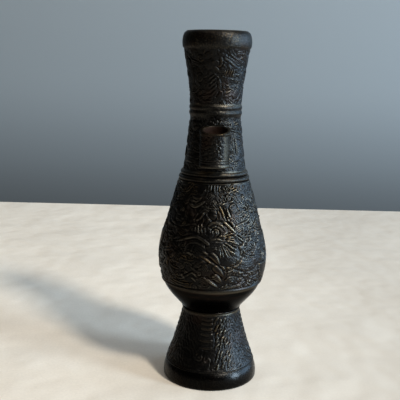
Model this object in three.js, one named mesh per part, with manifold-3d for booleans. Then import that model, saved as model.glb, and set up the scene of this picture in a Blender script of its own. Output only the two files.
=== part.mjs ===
// A small bronze arrow vase: a splayed foot, a pear-shaped belly, a neck with two
// arrow tubes, and a flared mouth. It is cast in sections that lap on short spigots,
// with the joints hidden at the string mouldings and at the waist.
// Millimetres, +Z up, origin at the centre of the foot's underside. The tubes stand
// before and behind the neck, on the Y axis.

import * as THREE from "three";
import { mergeVertices } from "three/addons/utils/BufferGeometryUtils.js";
import Module from "manifold-3d";

const wasm = await Module();
wasm.setup();

// Driving dimensions: heights of the sections, from the foot up
const FOOT_HEIGHT = 31;
const BOWL_HEIGHT = 13;
const BELLY_HEIGHT = 44.3;
const SHOULDER_BEAD_HEIGHT = 2.1;
const LUG_NECK_HEIGHT = 20.3;
const NECK_GROOVE_HEIGHT = 1.2;
const NECK_BAND_HEIGHT = 1.5;
const NECK_BEAD_HEIGHT = 2.25;
const TRUMPET_HEIGHT = 22.8;
const RIM_HEIGHT = 7.2;

// Driving dimensions: outside radii, from the foot up
const FOOT_RADIUS = 20.6;
const FOOT_BAND_TOP_RADIUS = 19.8;
const FOOT_FLARE_RADIUS = 19.3;
const WAIST_RADIUS = 12.5;
const BOWL_RADIUS = 21.3;
const BELLY_HEM_RADIUS = 21.7;
const BELLY_RADIUS = 23;
const SHOULDER_RADIUS = 15.2;
const LOWER_BEAD_RADIUS = 15.15;
const UPPER_BEAD_RADIUS = 14.4;
const NECK_FOOT_RADIUS = 13.3;
const NECK_TOP_RADIUS = 10.9;
const NECK_GROOVE_RADIUS = 10.4;
const NECK_BAND_RADIUS = 10.65;
const NECK_BEAD_RADIUS = 11.17;
const TRUMPET_FOOT_RADIUS = 10.82;
const TRUMPET_TOP_RADIUS = 13.75;
const RIM_FOOT_RADIUS = 14.23;
const RIM_TOP_RADIUS = 12.7;

// Driving dimensions: bands and edges
const FOOT_BAND_HEIGHT = 7.4;
const FOOT_GROOVE_HEIGHT = 0.6;
const BELLY_WIDEST_ABOVE_HEM = 11;
const SHOULDER_GROOVE_DEPTH = 0.6;
const NECK_BEAD_GROOVE_DEPTH = 0.3;
const RIM_STEP_HEIGHT = 0.5;
const EDGE_ROUND = 0.6;
const LIP_ROUND = 0.8;

// Driving dimensions: walls, spigots and clearances
const FOOT_WALL = 2.5;
const FOOT_RING_WIDTH = 2.7;
const BOWL_WALL = 2.6;
const BELLY_WALL = 2.5;
const TRUMPET_WALL = 2.4;
const SPIGOT_LENGTH = 4;
const SPIGOT_WALL = 1.2;
const NECK_SPIGOT_RADIUS = 11.3;
const TRUMPET_SPIGOT_RADIUS = 9.2;
const FLOOR_PLATE_RADIUS = 10.2;
const FLOOR_PLATE_THICKNESS = 3;
const FLOOR_PLATE_LET_IN = 2;
const FLOOR_PLATE_LEDGE = 1.2;
const SEAT_GAP = 0.3;
const FILM_GAP = 0.15;

// Driving dimensions: arrow tubes and the tenon pins that hold them
const TUBE_RADIUS = 6.2;
const TUBE_BORE_RADIUS = 3.2;
const TUBE_LENGTH = 15;
const TUBE_ABOVE_SHOULDER = 3.2;
const TUBE_BACK_THICKNESS = 1.2;
const TUBE_PAD_WIDTH = 7;
const TUBE_LOWER_BAND_HEIGHT = 1.3;
const TUBE_UPPER_BAND_HEIGHT = 2.3;
const TUBE_BAND_DEPTH = 0.3;
const TUBE_TOP_SLANT_DEG = 13;
const PIN_RADIUS = 1;
const PIN_SPACING = 8;

const ROUND_SEGMENTS = 48;
const TUBE_SEGMENTS = 32;
const PIN_SEGMENTS = 12;

// Heights of the joints, from the foot up
const waistZ = FOOT_HEIGHT;
const hemZ = waistZ + BOWL_HEIGHT;
const shoulderZ = hemZ + BELLY_HEIGHT;
const neckFootZ = shoulderZ + 2 * SHOULDER_BEAD_HEIGHT;
const neckTopZ = neckFootZ + LUG_NECK_HEIGHT;
const bandZ = neckTopZ + NECK_GROOVE_HEIGHT;
const beadsZ = bandZ + NECK_BAND_HEIGHT;
const trumpetZ = beadsZ + 2 * NECK_BEAD_HEIGHT;
const rimZ = trumpetZ + TRUMPET_HEIGHT;
const mouthZ = rimZ + RIM_HEIGHT;

const bronze = (color, roughness) =>
  new THREE.MeshStandardMaterial({ color, roughness, metalness: 0.75 });
const plainBronze = bronze(0x2a2420, 0.42);
const reliefBronze = bronze(0x241f1b, 0.55);
const innerBronze = bronze(0x3a2f26, 0.6);

const at = (radius, height) => new THREE.Vector2(radius, height);

// Points of a smooth outline. It leaves the start and arrives at the end along handles,
// given as shares of the radial and the upward step between the two.
function sweep(start, end, leave, arrive, steps) {
  const step = end.clone().sub(start);
  const first = start.clone().add(at(...leave).multiply(step));
  const last = end.clone().sub(at(...arrive).multiply(step));
  return new THREE.CubicBezierCurve(start, first, last, end).getPoints(steps);
}

// A half-round string moulding on a wall, from the bottom up.
function bead(root, crest, bottom, height, steps = 4) {
  return Array.from({ length: steps + 1 }, (_, i) =>
    at(root + (crest - root) * Math.sin((Math.PI * i) / steps), bottom + (height * i) / steps),
  );
}

// The inside of a wall: each outline point moved in by the wall, measured square to it.
function insideOf(outline, wall) {
  return outline.map((point, i) => {
    const below = outline[Math.max(i - 1, 0)];
    const above = outline[Math.min(i + 1, outline.length - 1)];
    const slope = (above.x - below.x) / (above.y - below.y);
    return at(point.x - wall * Math.hypot(1, slope), point.y);
  });
}

// The radius of an outline at a height, between its points.
function radiusAt(outline, height) {
  const i = Math.max(1, outline.findIndex((point) => point.y >= height));
  const [low, high] = [outline[i - 1], outline[i]];
  return THREE.MathUtils.mapLinear(height, low.y, high.y, low.x, high.x);
}

// A section turned round the Z axis, given anticlockwise from its lowest outer point.
// A section that starts on the axis makes a disc, and any other a ring.
function turned(section, segments = ROUND_SEGMENTS) {
  const onAxis = section[0].x === 0;
  const loop = onAxis ? section : [...section, section[0]];
  return new THREE.LatheGeometry(loop, segments).rotateX(Math.PI / 2);
}

function solidOf(geometry) {
  const bare = geometry.clone();
  bare.deleteAttribute("normal");
  bare.deleteAttribute("uv");
  const merged = mergeVertices(bare, 1e-4);
  const vertProperties = merged.attributes.position.array;
  const triVerts = new Uint32Array(merged.index.array);
  return new wasm.Manifold(new wasm.Mesh({ numProp: 3, vertProperties, triVerts }));
}

function geometryOf(solid) {
  const mesh = solid.getMesh();
  const geometry = new THREE.BufferGeometry();
  geometry.setAttribute("position", new THREE.BufferAttribute(mesh.vertProperties, 3));
  geometry.setIndex(new THREE.BufferAttribute(mesh.triVerts, 1));
  const faceted = geometry.toNonIndexed();
  faceted.computeVertexNormals();
  return faceted;
}

// A round bar lying along Y, between two distances from the axis of the vase.
function barAlongY(radius, near, far, height) {
  const bar = new THREE.CylinderGeometry(radius, radius, Math.abs(far - near), PIN_SEGMENTS);
  return bar.translate(0, (near + far) / 2, height);
}

// Outlines of the sections, each from the bottom up
const footOutline = sweep(
  at(FOOT_FLARE_RADIUS, FOOT_BAND_HEIGHT + FOOT_GROOVE_HEIGHT),
  at(WAIST_RADIUS, waistZ),
  [0.17, 0.12],
  [0.15, 0.32],
  8,
);
const bowlOutline = sweep(at(WAIST_RADIUS, waistZ), at(BOWL_RADIUS, hemZ), [0, 0.2], [0.2, 0.45], 8);
const bellyWidest = at(BELLY_RADIUS, hemZ + BELLY_WIDEST_ABOVE_HEM);
const bellyOutline = [
  ...sweep(at(BELLY_HEM_RADIUS, hemZ), bellyWidest, [0.46, 0.32], [0, 0.36], 4),
  ...sweep(bellyWidest, at(SHOULDER_RADIUS, shoulderZ), [0, 0.27], [0.1, 0.15], 9).slice(1),
];
const neckBeadRoot = NECK_BEAD_RADIUS - NECK_BEAD_GROOVE_DEPTH;
const lugNeckOutline = [
  ...sweep(at(NECK_FOOT_RADIUS, neckFootZ), at(NECK_TOP_RADIUS, neckTopZ), [0.42, 0.3], [0.1, 0.3], 6),
  at(NECK_GROOVE_RADIUS, neckTopZ + NECK_GROOVE_HEIGHT / 2),
  at(NECK_BAND_RADIUS, bandZ),
  at(NECK_BAND_RADIUS, beadsZ),
  ...bead(neckBeadRoot, NECK_BEAD_RADIUS, beadsZ, NECK_BEAD_HEIGHT),
  ...bead(neckBeadRoot, NECK_BEAD_RADIUS, beadsZ + NECK_BEAD_HEIGHT, NECK_BEAD_HEIGHT).slice(1),
];
const trumpetOutline = sweep(
  at(TRUMPET_FOOT_RADIUS, trumpetZ),
  at(TRUMPET_TOP_RADIUS, rimZ),
  [-0.04, 0.13],
  [0.71, 0.46],
  8,
);
const rimOutline = sweep(
  at(RIM_FOOT_RADIUS, rimZ + RIM_STEP_HEIGHT),
  at(RIM_TOP_RADIUS, mouthZ),
  [-0.57, 0.37],
  [0.98, 0.015],
  7,
);

const rebateRadius = FLOOR_PLATE_RADIUS + FILM_GAP;
const plateBottomZ = waistZ - FLOOR_PLATE_LET_IN;
const plateTopZ = plateBottomZ + FLOOR_PLATE_THICKNESS;
const socketFootZ = trumpetZ - SPIGOT_LENGTH - FILM_GAP;

// Foot: an open splayed ring with a plain band at its base, rebated at the top for the floor plate
function foot() {
  const ledgeRadius = rebateRadius - FLOOR_PLATE_LEDGE;
  const ledgeFootZ = plateBottomZ - FLOOR_PLATE_LEDGE;
  const inside = insideOf(footOutline, FOOT_WALL).filter((point) => point.y < ledgeFootZ);
  return turned([
    at(FOOT_RADIUS - EDGE_ROUND, 0),
    at(FOOT_RADIUS - EDGE_ROUND / 4, EDGE_ROUND / 2),
    at(FOOT_RADIUS, 2 * EDGE_ROUND),
    at(FOOT_RADIUS, FOOT_BAND_HEIGHT / 2),
    at(FOOT_BAND_TOP_RADIUS, FOOT_BAND_HEIGHT),
    ...footOutline,
    at(rebateRadius, waistZ),
    at(rebateRadius, plateBottomZ),
    at(ledgeRadius, plateBottomZ),
    at(ledgeRadius, ledgeFootZ),
    ...inside.reverse(),
    at(FOOT_RADIUS - FOOT_RING_WIDTH, 0),
  ]);
}

// Floor plate: a disc let half into the foot and half into the bowl, which closes the vessel
function floorPlate() {
  return turned([
    at(0, plateBottomZ),
    at(FLOOR_PLATE_RADIUS, plateBottomZ),
    at(FLOOR_PLATE_RADIUS, plateTopZ),
    at(0, plateTopZ),
  ]);
}

// Bowl: the plain lower body, with a spigot that the belly drops over
const bellyInside = insideOf(bellyOutline, BELLY_WALL);
const bowlSpigotRadius = bellyInside[0].x - SEAT_GAP;

function bowl() {
  const spigotTopZ = hemZ + SPIGOT_LENGTH;
  const inside = insideOf(bowlOutline, BOWL_WALL).filter(
    (point) => point.y > plateTopZ + FLOOR_PLATE_LEDGE && point.x < bowlSpigotRadius - SPIGOT_WALL,
  );
  return turned([
    ...bowlOutline,
    at(bowlSpigotRadius, hemZ),
    at(bowlSpigotRadius, spigotTopZ),
    at(bowlSpigotRadius - SPIGOT_WALL, spigotTopZ),
    ...inside.reverse(),
    at(rebateRadius - FLOOR_PLATE_LEDGE, plateTopZ),
    at(rebateRadius, plateTopZ),
    at(rebateRadius, waistZ),
  ]);
}

// Belly: the pear-shaped shell, with two string mouldings at its shoulder
function bellyShell() {
  const boreRadius = NECK_SPIGOT_RADIUS + SEAT_GAP;
  const boreFootZ = neckFootZ - SPIGOT_LENGTH - SPIGOT_WALL;
  const inside = bellyInside.filter((point) => point.y < boreFootZ);
  const upperBeadZ = shoulderZ + SHOULDER_BEAD_HEIGHT;
  return turned([
    ...bellyOutline,
    ...bead(LOWER_BEAD_RADIUS - SHOULDER_GROOVE_DEPTH, LOWER_BEAD_RADIUS, shoulderZ, SHOULDER_BEAD_HEIGHT),
    ...bead(UPPER_BEAD_RADIUS - SHOULDER_GROOVE_DEPTH, UPPER_BEAD_RADIUS, upperBeadZ, SHOULDER_BEAD_HEIGHT),
    at(boreRadius, neckFootZ),
    at(boreRadius, boreFootZ),
    ...inside.reverse(),
  ]);
}

// Mouth: the trumpet neck with its plain rounded rim band, standing on a spigot
function mouthTrumpet() {
  const spigotFootZ = trumpetZ - SPIGOT_LENGTH;
  return turned([
    at(TRUMPET_SPIGOT_RADIUS, spigotFootZ),
    at(TRUMPET_SPIGOT_RADIUS, trumpetZ),
    ...trumpetOutline,
    ...rimOutline,
    at(RIM_TOP_RADIUS - LIP_ROUND, mouthZ - LIP_ROUND),
    ...insideOf(trumpetOutline, TRUMPET_WALL).slice(1).reverse(),
    at(TRUMPET_SPIGOT_RADIUS - SPIGOT_WALL, spigotFootZ),
  ]);
}

const tubeFootZ = neckFootZ + TUBE_ABOVE_SHOULDER;
const tubeTopZ = tubeFootZ + TUBE_LENGTH;
const tubeCentre =
  radiusAt(lugNeckOutline, tubeFootZ) + SEAT_GAP + TUBE_BACK_THICKNESS + TUBE_BORE_RADIUS;
const pinHeights = [-0.5, 0.5].map((side) => tubeFootZ + TUBE_LENGTH / 2 + side * PIN_SPACING);

// Neck section that carries the tubes, with a spigot below, a socket above and pin holes
const lugNeckBore = [
  at(NECK_SPIGOT_RADIUS - SPIGOT_WALL, neckFootZ - SPIGOT_LENGTH),
  at(TRUMPET_SPIGOT_RADIUS - SPIGOT_WALL, socketFootZ),
];

function lugNeck() {
  const ring = turned([
    at(NECK_SPIGOT_RADIUS, neckFootZ - SPIGOT_LENGTH),
    at(NECK_SPIGOT_RADIUS, neckFootZ),
    ...lugNeckOutline,
    at(TRUMPET_SPIGOT_RADIUS + FILM_GAP, trumpetZ),
    at(TRUMPET_SPIGOT_RADIUS + FILM_GAP, socketFootZ),
    ...lugNeckBore.toReversed(),
  ]);
  const holes = pinHeights.map((height) =>
    solidOf(barAlongY(PIN_RADIUS + FILM_GAP, -tubeCentre, tubeCentre, height)),
  );
  return geometryOf(holes.reduce((solid, hole) => solid.subtract(hole), solidOf(ring)));
}

// Arrow tube: vertical, open at both ends, its mouth slanting down outwards. It is saddled on
// the neck, with a pad behind that fills the wedge where the neck tapers away.
function arrowTube() {
  const slant = THREE.MathUtils.degToRad(TUBE_TOP_SLANT_DEG);
  const blankTopZ = tubeTopZ + 2 * TUBE_RADIUS * Math.tan(slant);
  const bodyRadius = TUBE_RADIUS - TUBE_BAND_DEPTH;
  const lowerBandZ = tubeFootZ + TUBE_LOWER_BAND_HEIGHT;
  const upperBandZ = tubeTopZ - TUBE_UPPER_BAND_HEIGHT;
  const blank = turned(
    [
      at(TUBE_RADIUS - EDGE_ROUND / 2, tubeFootZ),
      at(TUBE_RADIUS, tubeFootZ + EDGE_ROUND / 2),
      at(TUBE_RADIUS, lowerBandZ - TUBE_BAND_DEPTH),
      at(bodyRadius, lowerBandZ),
      at(bodyRadius, upperBandZ),
      at(TUBE_RADIUS, upperBandZ + TUBE_BAND_DEPTH),
      at(TUBE_RADIUS, blankTopZ),
      at(TUBE_BORE_RADIUS, blankTopZ),
      at(TUBE_BORE_RADIUS, tubeFootZ),
    ],
    TUBE_SEGMENTS,
  ).translate(0, -tubeCentre, 0);
  const padOutside = tubeCentre - TUBE_BORE_RADIUS - TUBE_BACK_THICKNESS / 2;
  const padInside = TRUMPET_SPIGOT_RADIUS + FILM_GAP;
  const padHeight = blankTopZ - tubeFootZ;
  const pad = new THREE.BoxGeometry(TUBE_PAD_WIDTH, padOutside - padInside, padHeight)
    .translate(0, -(padInside + padOutside) / 2, tubeFootZ + padHeight / 2);
  const waste = new THREE.BoxGeometry(4 * TUBE_RADIUS, 4 * TUBE_RADIUS, 4 * TUBE_RADIUS)
    .translate(0, 0, 2 * TUBE_RADIUS)
    .rotateX(slant)
    .translate(0, -tubeCentre, tubeTopZ);
  const neckAndGap = turned([
    at(TRUMPET_SPIGOT_RADIUS, neckFootZ),
    ...lugNeckOutline.map((point) => at(point.x + SEAT_GAP, point.y)),
    at(TRUMPET_SPIGOT_RADIUS, trumpetZ),
  ]);
  const holes = pinHeights.map((height) => barAlongY(PIN_RADIUS + FILM_GAP, 0, -tubeCentre, height));
  const cuts = [waste, neckAndGap, ...holes].map(solidOf);
  const whole = solidOf(blank).add(solidOf(pad));
  return geometryOf(cuts.reduce((solid, cut) => solid.subtract(cut), whole));
}

// Tenon pin: runs through the neck wall into the back wall of a tube, flush with both bores
function tubePin(height) {
  const [low, high] = lugNeckBore;
  const neckBore = THREE.MathUtils.mapLinear(height, low.y, high.y, low.x, high.x);
  return barAlongY(PIN_RADIUS, -neckBore, TUBE_BORE_RADIUS - tubeCentre, height);
}

const vase = new THREE.Group();

function add(name, geometry, material, turn = 0) {
  const mesh = new THREE.Mesh(geometry, material);
  mesh.name = name;
  mesh.rotation.z = turn;
  vase.add(mesh);
}

add("foot", foot(), reliefBronze);
add("floor_plate", floorPlate(), innerBronze);
add("bowl", bowl(), plainBronze);
add("belly_shell", bellyShell(), reliefBronze);
add("lug_neck", lugNeck(), reliefBronze);
add("mouth_trumpet", mouthTrumpet(), reliefBronze);
for (const [side, turn] of [["front", 0], ["back", Math.PI]]) {
  add(`arrow_tube_${side}`, arrowTube(), reliefBronze, turn);
  add(`tube_pin_${side}_lower`, tubePin(pinHeights[0]), innerBronze, turn);
  add(`tube_pin_${side}_upper`, tubePin(pinHeights[1]), innerBronze, turn);
}

export default vase;
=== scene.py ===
"""The arrow vase as it looks: cast relief, arrow tubes, dark patina, table and soft light.

It is laid out as an add-on and run as a script. Meshes are in metres. Outlines and relief are
drawn in millimetres, and in degrees round the vase from its front towards +X.
"""

import math
from types import SimpleNamespace

import bmesh
import bpy
import numpy as np
from bpy.props import FloatProperty, FloatVectorProperty, PointerProperty
from mathutils import Matrix, Vector


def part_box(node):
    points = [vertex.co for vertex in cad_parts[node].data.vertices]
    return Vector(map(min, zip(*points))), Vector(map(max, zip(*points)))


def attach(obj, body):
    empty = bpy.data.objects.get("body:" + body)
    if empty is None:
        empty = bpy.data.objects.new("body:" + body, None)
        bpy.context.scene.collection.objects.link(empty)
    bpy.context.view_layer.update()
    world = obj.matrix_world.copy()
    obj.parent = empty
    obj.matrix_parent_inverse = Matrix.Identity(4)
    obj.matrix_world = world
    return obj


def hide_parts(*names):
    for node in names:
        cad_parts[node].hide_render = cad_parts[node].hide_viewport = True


bl_info = {
    "name": "Arrow vase",
    "version": (1, 0, 0),
    "blender": (4, 5, 0),
    "location": "3D View > Sidebar > Arrow vase",
    "description": "Builds a small bronze arrow vase with cast relief round a fixed frame",
    "category": "Object",
}

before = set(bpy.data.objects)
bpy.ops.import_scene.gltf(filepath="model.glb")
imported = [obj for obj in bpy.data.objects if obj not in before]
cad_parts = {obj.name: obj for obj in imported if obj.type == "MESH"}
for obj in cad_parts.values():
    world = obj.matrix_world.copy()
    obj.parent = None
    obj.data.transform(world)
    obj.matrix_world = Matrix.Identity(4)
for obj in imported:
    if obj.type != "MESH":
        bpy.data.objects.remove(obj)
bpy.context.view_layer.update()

MM = 0.001
FOOT_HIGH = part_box("foot")[1]
BOWL_LOW, BOWL_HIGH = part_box("bowl")
BELLY_LOW, BELLY_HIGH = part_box("belly_shell")
NECK_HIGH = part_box("lug_neck")[1]
MOUTH_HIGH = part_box("mouth_trumpet")[1]
TUBE_LOW, TUBE_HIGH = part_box("arrow_tube_front")

# Walls and the fits between the sections, which stay as the frame has them, in millimetres
FOOT_WALL = 2.5
FOOT_RING = 2.7
PLATE_SEAT = 10.35
PLATE_LEDGE = 9.15
BOWL_WALL = 2.6
BELLY_WALL = 2.5
BELLY_BORE = 11.6
SPIGOT_LENGTH = 4
SPIGOT_WALL = 1.2
SEAT_GAP = 0.3
NECK_SPIGOT = 11.3
NECK_SOCKET = 9.35
SOCKET_DEPTH = 4.15
MOUTH_SPIGOT = 9.2
MOUTH_WALL = 2.4
MOUTH_FOOT = 10.82
MOUTH_BORE = MOUTH_SPIGOT - SPIGOT_WALL
NECK_BORE = NECK_SPIGOT - SPIGOT_WALL

# The tubes: how much the mouth is widened, the width of the pad behind each, and where it ends
# inside the neck
MOUTH_WIDENING = 1.7
PAD_WIDTH = 7
PAD_BACK = 10.2

# Steps round each turned wall, which is spun as one sector first, and the angle in degrees from
# which its edges stay sharp
STEPS = {"foot": 400, "bowl": 224, "belly": 448, "neck": 320, "mouth": 320, "tube": 176}
SECTORS = 16
SHARP_FROM = 55

# Where the random draws of each relief start
SEEDS = {"foot": 11, "belly": 23, "neck": 31, "mouth": 43, "front": 57, "back": 61}

# Wear: averaging rounds, how far a point must stand out of its surroundings for full wear, and
# the way that the tube walls with a painted highlight face: towards the lamps on the right, and up
WEAR_ROUNDS = 9
WEAR_STEP = 0.16
LIT_SIDE = (1.3, 0, 1)

# The camera: turn in radians, tilt and roll in degrees, place in metres, and its film and lens
# in millimetres
EYE_TURN = -0.019406
EYE_DOWN = 10.74
EYE_ROLL = 1.18
EYE_PLACE = (0, -0.3, 0.1356)
EYE_FILM = 36
EYE_LENS = 63.53

# The faint warm light of the room itself
ROOM_COLOUR = (1.0, 0.87, 0.7, 1)
ROOM_STRENGTH = 0.05


def length(name, default, description):
    return FloatProperty(
        name=name, description=description, default=default, min=0, unit="LENGTH", precision=5
    )


def colour(name, default, description):
    return FloatVectorProperty(
        name=name, description=description, default=default, min=0, max=1, size=3, subtype="COLOR"
    )


class ArrowVaseSizes(bpy.types.PropertyGroup):
    """Sizes of the vase's visible pieces."""

    foot_radius: length("Foot radius", FOOT_HIGH.x, "Radius of the band that the vase stands on")
    foot_band: length("Foot band", 7.4 * MM, "Height of the plain band at the base")
    foot_flare: length("Foot flare", 19.3 * MM, "Radius where the carved foot meets its band")
    waist: length("Waist", 12.5 * MM, "Radius where foot and bowl meet")
    bowl_radius: length("Bowl radius", BOWL_HIGH.x, "Radius of the bowl under the belly relief")
    belly_hem: length("Belly hem", 21.7 * MM, "Radius of the lower edge of the belly relief")
    belly_radius: length("Belly radius", BELLY_HIGH.x, "Radius of the belly where it is widest")
    shoulder: length("Shoulder", 15.2 * MM, "Radius of the belly under the shoulder mouldings")
    shoulder_bead: length("Shoulder bead", 2.1 * MM, "Height of one shoulder moulding")
    neck_foot: length("Neck foot", 13.3 * MM, "Radius of the neck above the shoulder")
    neck_top: length("Neck top", 10.9 * MM, "Radius of the neck where its taper ends")
    neck_bead: length("Neck bead", 11.17 * MM, "Radius of the double bead under the mouth")
    trumpet_top: length("Trumpet top", 13.75 * MM, "Radius of the mouth under its rim band")
    rim_foot: length("Rim foot", 14.23 * MM, "Radius of the lower edge of the rim band")
    rim_top: length("Rim top", 13.0 * MM, "Radius of the lip")
    rim_band: length("Rim band", 7.2 * MM, "Height of the plain rim band")
    tube_radius: length("Tube radius", TUBE_HIGH.x, "Outside radius of an arrow tube")
    tube_bore: length("Tube bore", 3.2 * MM, "Radius of an arrow tube's bore")
    tube_length: length("Tube length", 15 * MM, "Length of an arrow tube along its axis")
    tube_slant: FloatProperty(
        name="Tube slant",
        description="How far an arrow tube's mouth slants down outwards",
        default=math.radians(13),
        min=0,
        unit="ROTATION",
    )
    ground: length("Ground", 0.42 * MM, "How far the ground of the relief lies below its frame")
    relief: length("Relief", 1.15 * MM, "Height of the boldest relief above its ground")


class ArrowVaseColours(bpy.types.PropertyGroup):
    """Colours of the vase, the table and the light."""

    patina: colour("Patina", (0.0036, 0.0032, 0.0028), "Dark patina in the hollows of the relief")
    rubbed: colour("Rubbed bronze", (0.184, 0.161, 0.119), "Bronze rubbed clear on the high points")
    golden: colour("Golden bronze", (0.184, 0.126, 0.06), "Warmer patches of the rubbed bronze")
    plain: colour("Plain bronze", (0.0117, 0.0117, 0.0117), "Smooth bands and bowl")
    russet: colour("Russet", (0.029, 0.0152, 0.0106), "Reddish patches in the patina")
    inside: colour("Inside", (0.061, 0.044, 0.032), "Dull bronze as it was cast")
    table: colour("Table", (0.77, 0.69, 0.585), "Cloth on the table")
    wall: colour("Wall", (0.26, 0.282, 0.29), "Wall behind the table, where the light reaches it")
    daylight: colour("Daylight", (1.0, 0.95, 0.86), "Colour of the nearer window's light")
    sidelight: colour("Side window", (0.6, 0.8, 1.0), "Light of the window further round")
    skylight: colour("Skylight", (0.45, 0.7, 1.0), "Colour of the open sky from the side")


def sizes_in_mm():
    """The sizes by name, in millimetres but for the tubes' slant, which is in radians."""
    sizes = bpy.context.scene.arrow_vase_sizes
    values = {name: getattr(sizes, name) / MM for name in sizes.__annotations__}
    return SimpleNamespace(**{**values, "tube_slant": sizes.tube_slant})


def sweep(start, end, leave, arrive, rows=60):
    """A smooth outline that leaves the start and arrives at the end along handles."""
    start, end = np.array(start, float), np.array(end, float)
    step = end - start
    first, last = start + np.array(leave) * step, end - np.array(arrive) * step
    t = np.linspace(0, 1, rows)[:, None]
    u = 1 - t
    return u**3 * start + 3 * u * u * t * first + 3 * u * t * t * last + t**3 * end


def bead(root, crest, bottom, height, rows):
    """A half-round string moulding on a wall, from the bottom up."""
    t = np.linspace(0, 1, rows)
    return np.column_stack([root + (crest - root) * np.sin(np.pi * t), bottom + height * t])


def even(outline, spacing):
    """The same outline with its points evenly spaced along it."""
    outline = np.array(outline, float)
    run = np.concatenate([[0], np.cumsum(np.hypot(*np.diff(outline, axis=0).T))])
    count = max(2, int(round(run[-1] / spacing)) + 1)
    marks = np.linspace(0, run[-1], count)
    return np.column_stack([np.interp(marks, run, outline[:, i]) for i in (0, 1)])


def inside_of(outline, wall):
    """The inside of a wall, measured square to its outline."""
    slope = np.gradient(outline[:, 0], outline[:, 1])
    return np.column_stack([outline[:, 0] - wall * np.hypot(1, slope), outline[:, 1]])


def mesh_piece(name, bm, slot, node, finish=None):
    """A piece at the origin, which stands for its CAD node and has its slot's finish or its own."""
    mesh = bpy.data.meshes.new(name)
    bm.to_mesh(mesh)
    bm.free()
    mesh.shade_smooth()
    mesh.set_sharp_from_angle(angle=math.radians(SHARP_FROM))
    mesh.materials.append(finish_named(finish or slot))
    piece = bpy.data.objects.new(name, mesh)
    bpy.context.scene.collection.objects.link(piece)
    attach(piece, "root")
    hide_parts(node)
    return piece


def turned(rows, steps):
    """A closed section of (radius, height) in millimetres, spun round the Z axis.

    One sector is spun first and then repeated round the axis, which takes far less time.
    """
    bm = bmesh.new()
    loop = [bm.verts.new((r * MM, 0, z * MM)) for r, z in np.vstack(rows)]
    edges = [bm.edges.new(pair) for pair in zip(loop, loop[1:] + loop[:1])]
    sector = math.tau / SECTORS
    upright = {"cent": (0, 0, 0), "axis": (0, 0, 1), "dvec": (0, 0, 0)}
    bmesh.ops.spin(bm, geom=loop + edges, angle=sector, steps=steps // SECTORS, **upright)
    whole = bm.verts[:] + bm.edges[:] + bm.faces[:]
    around = {"angle": math.tau - sector, "steps": SECTORS - 1, "use_duplicate": True}
    bmesh.ops.spin(bm, geom=whole, **around, **upright)
    bmesh.ops.remove_doubles(bm, verts=bm.verts, dist=1e-7)
    bmesh.ops.recalc_face_normals(bm, faces=bm.faces)
    return bm


def through(points, per_span=8):
    """A smooth open curve through given points."""
    p = np.array(points, float)
    p = np.vstack([2 * p[0] - p[1], p, 2 * p[-1] - p[-2]])
    t = np.linspace(0, 1, per_span, endpoint=False)[:, None]
    spans = []
    for a, b, c, d in zip(p, p[1:], p[2:], p[3:]):
        square, cube = 2 * a - 5 * b + 4 * c - d, 3 * b - a - 3 * c + d
        spans.append(0.5 * (2 * b + (c - a) * t + square * t**2 + cube * t**3))
    return np.vstack([*spans, p[-2:-1]])


def smooth(x):
    x = np.clip(x, 0, 1)
    return x * x * (3 - 2 * x)


def cos_sin(degrees):
    return math.cos(math.radians(degrees)), math.sin(math.radians(degrees))


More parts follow.
